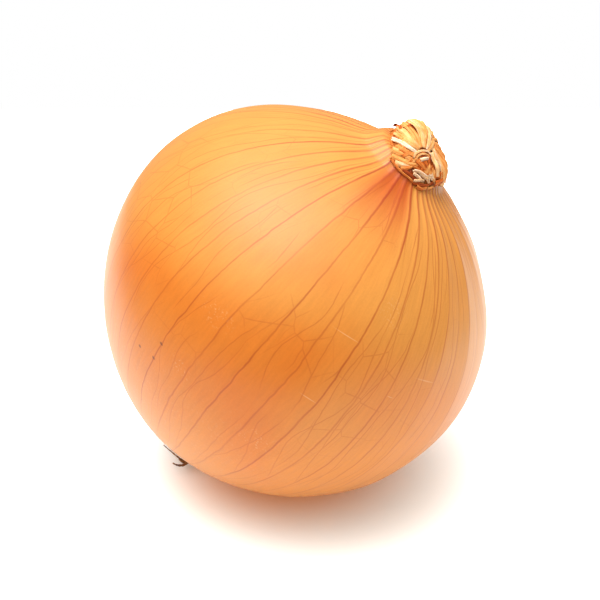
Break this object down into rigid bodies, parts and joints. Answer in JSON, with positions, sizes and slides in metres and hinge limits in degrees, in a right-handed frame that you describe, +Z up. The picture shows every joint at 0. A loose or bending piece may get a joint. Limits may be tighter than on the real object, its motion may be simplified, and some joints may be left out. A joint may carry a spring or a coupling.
{
  "type": "onion",
  "caption": "Ripe brown onion lying over on one side: papery ribbed skin, a short dried neck of folded leaf ends and a tuft of dry roots; a food prop with a small flat resting spot.",
  "frame": {"origin": "centre of the flat resting spot under the bulb, on the table", "axes": "+Z up from the table; the neck leans over towards +X; +Y is to the far side when the neck is seen leaning to the right"},
  "size_m": [0.0767, 0.0835, 0.075],
  "materials": {
    "onion_skin": "satin",
    "dry_leaf_ends": "matte",
    "dry_root": "matte"
  },
  "bodies": {
    "root": {"bulb": "onion_skin", "neck": "dry_leaf_ends", "root_tuft": "dry_root"}
  },
  "joints": []
}
